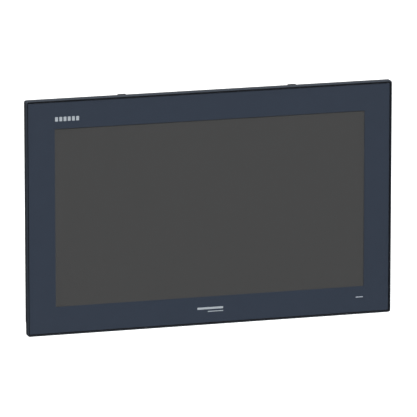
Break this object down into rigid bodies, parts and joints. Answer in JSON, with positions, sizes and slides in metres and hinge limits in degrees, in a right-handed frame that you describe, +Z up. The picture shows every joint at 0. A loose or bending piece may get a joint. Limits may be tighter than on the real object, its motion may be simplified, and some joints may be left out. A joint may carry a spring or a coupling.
{
  "type": "hmi touch panel",
  "caption": "Wide flush-glass touch panel for a cabinet-door cut-out, with a slim bezel, sealed border, drop-stop hooks and a rear housing with a recessed connector bay.",
  "frame": {"origin": "centre of the plane where the bezel's rear face meets the front of the mounting panel", "axes": "+X to the right seen from the front, +Y from the front to the back, through the cut-out, +Z up"},
  "size_m": [0.563, 0.0529, 0.3556],
  "materials": {
    "bezel_paint": "fine-textured satin powder coat on die-cast aluminium",
    "cover_glass": "toughened flat glass with a light anti-glare surface",
    "seal_black": "soft black sealing bead",
    "border_ink": "opaque blue-grey ink baked on the back of the glass",
    "mark_ink": "opaque white ink",
    "tape_black": "black acrylic-foam tape",
    "sensor_film": "clear laminated sensor film",
    "lens_white": "frosted clear light pipe",
    "board_green": "solder-resist on glass-fibre board",
    "foam_black": "black foam strip",
    "bright_steel": "zinc-coated sheet",
    "lcd_dark": "dark grey switched-off screen",
    "diffuser_white": "white diffusing film",
    "guide_acrylic": "clear acrylic",
    "led_white": "white circuit strip with small lamps",
    "bright_aluminium": "plain mill finish",
    "gasket_rubber": "closed-cell sealing rubber",
    "housing_paint": "dark satin powder coat on sheet steel",
    "chip_black": "moulded component bodies",
    "screw_steel": "bright zinc-plated steel",
    "screw_black": "blackened steel",
    "chip_metal": "nickel-plated lid",
    "sink_aluminium": "anodised extruded aluminium",
    "drive_case": "anodised drive case",
    "flex_amber": "amber flexible circuit",
    "cable_grey": "flat flexible cable",
    "port_shell": "nickel-plated shell",
    "port_black": "moulded black plastic",
    "terminal_green": "moulded green plastic",
    "insert_brass": "turned brass",
    "stud_brass": "plated brass",
    "plate_silver": "plain brushed label plate",
    "spring_steel": "spring wire",
    "hook_plastic": "glass-filled nylon",
    "card_blue": "plain moulded memory card"
  },
  "bodies": {
    "panel": {"front_bezel": "bezel_paint", "cover_glass": "cover_glass", "glass_seal": "seal_black", "border_print": "border_ink", "legend_marks": "mark_ink", "glass_tape": "tape_black", "touch_sensor": "sensor_film", "status_lens": "lens_white", "status_board": "board_green", "lcd_cushion": "foam_black", "lcd_front_frame": "bright_steel", "lcd_cell": "lcd_dark", "optical_sheets": "diffuser_white", "light_guide": "guide_acrylic", "led_bar": "led_white", "lcd_tray": "bright_aluminium", "lcd_rails": "bright_steel", "panel_gasket": "gasket_rubber", "rear_housing": "housing_paint", "rear_cover": "housing_paint", "carrier_plate": "bright_steel", "mainboard": "board_green", "board_parts": "chip_black", "board_fixings": "screw_steel", "processor": "chip_metal", "heat_sink": "sink_aluminium", "memory_module": "board_green", "coin_cell": "screw_steel", "solid_state_drive": "drive_case", "power_board": "board_green", "touch_controller": "board_green", "sensor_flex": "flex_amber", "display_cable": "cable_grey", "ethernet_jacks": "port_shell", "usb_ports": "port_shell", "serial_port": "port_shell", "video_port": "port_shell", "power_header": "terminal_green", "card_socket": "port_shell", "switch_frame": "port_black", "service_cover": "housing_paint", "cover_screws": "screw_black", "housing_screws": "screw_steel", "vesa_inserts": "insert_brass", "ground_stud": "stud_brass", "rating_plate": "plate_silver", "hook_brackets": "bright_steel", "hinge_pins": "screw_steel", "hook_spring_left": "spring_steel", "hook_spring_right": "spring_steel"},
    "hook_left": {"hook_left": "hook_plastic"},
    "hook_right": {"hook_right": "hook_plastic"},
    "power_plug": {"power_plug": "terminal_green"},
    "plug_screw_1": {"plug_screw_1": "screw_steel"},
    "plug_screw_2": {"plug_screw_2": "screw_steel"},
    "plug_screw_3": {"plug_screw_3": "screw_steel"},
    "power_rocker": {"power_rocker": "port_black"},
    "reset_button": {"reset_button": "port_black"},
    "card_door": {"card_door": "port_black"},
    "memory_card": {"memory_card": "card_blue"}
  },
  "joints": [
    {"name": "hook_left_pivot", "type": "hinge", "parent": "panel", "child": "hook_left", "pos_m": [-0.131, 0.033, 0.162], "axis": [1, 0, 0], "range_deg": [0, 17], "stiffness_Nm_per_rad": 0.5, "springref_deg": -11.46, "deforming": ["hook_spring_left"]},
    {"name": "hook_right_pivot", "type": "hinge", "parent": "panel", "child": "hook_right", "pos_m": [0.131, 0.033, 0.162], "axis": [1, 0, 0], "range_deg": [0, 17], "stiffness_Nm_per_rad": 0.5, "springref_deg": -11.46, "deforming": ["hook_spring_right"]},
    {"name": "plug_pull", "type": "slide", "parent": "panel", "child": "power_plug", "axis": [0, 0, -1], "range_m": [0, 0.014]},
    {"name": "plug_screw_1_turn", "type": "hinge", "parent": "power_plug", "child": "plug_screw_1", "pos_m": [0.10492, 0.028, -0.138], "axis": [0, 1, 0], "range_deg": [-360, 360]},
    {"name": "plug_screw_2_turn", "type": "hinge", "parent": "power_plug", "child": "plug_screw_2", "pos_m": [0.11, 0.028, -0.138], "axis": [0, 1, 0], "range_deg": [-360, 360]},
    {"name": "plug_screw_3_turn", "type": "hinge", "parent": "power_plug", "child": "plug_screw_3", "pos_m": [0.11508, 0.028, -0.138], "axis": [0, 1, 0], "range_deg": [-360, 360]},
    {"name": "rocker_tilt", "type": "hinge", "parent": "panel", "child": "power_rocker", "pos_m": [0.15, 0.0245, -0.1246], "axis": [0, 1, 0], "range_deg": [-20, 0]},
    {"name": "reset_press", "type": "slide", "parent": "panel", "child": "reset_button", "axis": [0, 0, 1], "range_m": [0, 0.0005], "stiffness_N_per_m": 800, "springref_m": -0.0006},
    {"name": "card_door_swing", "type": "hinge", "parent": "panel", "child": "card_door", "pos_m": [-0.167, 0.019, -0.1286], "axis": [0, 1, 0], "range_deg": [0, 95]},
    {"name": "card_eject", "type": "slide", "parent": "panel", "child": "memory_card", "axis": [0, 0, -1], "range_m": [0, 0.004]}
  ]
}
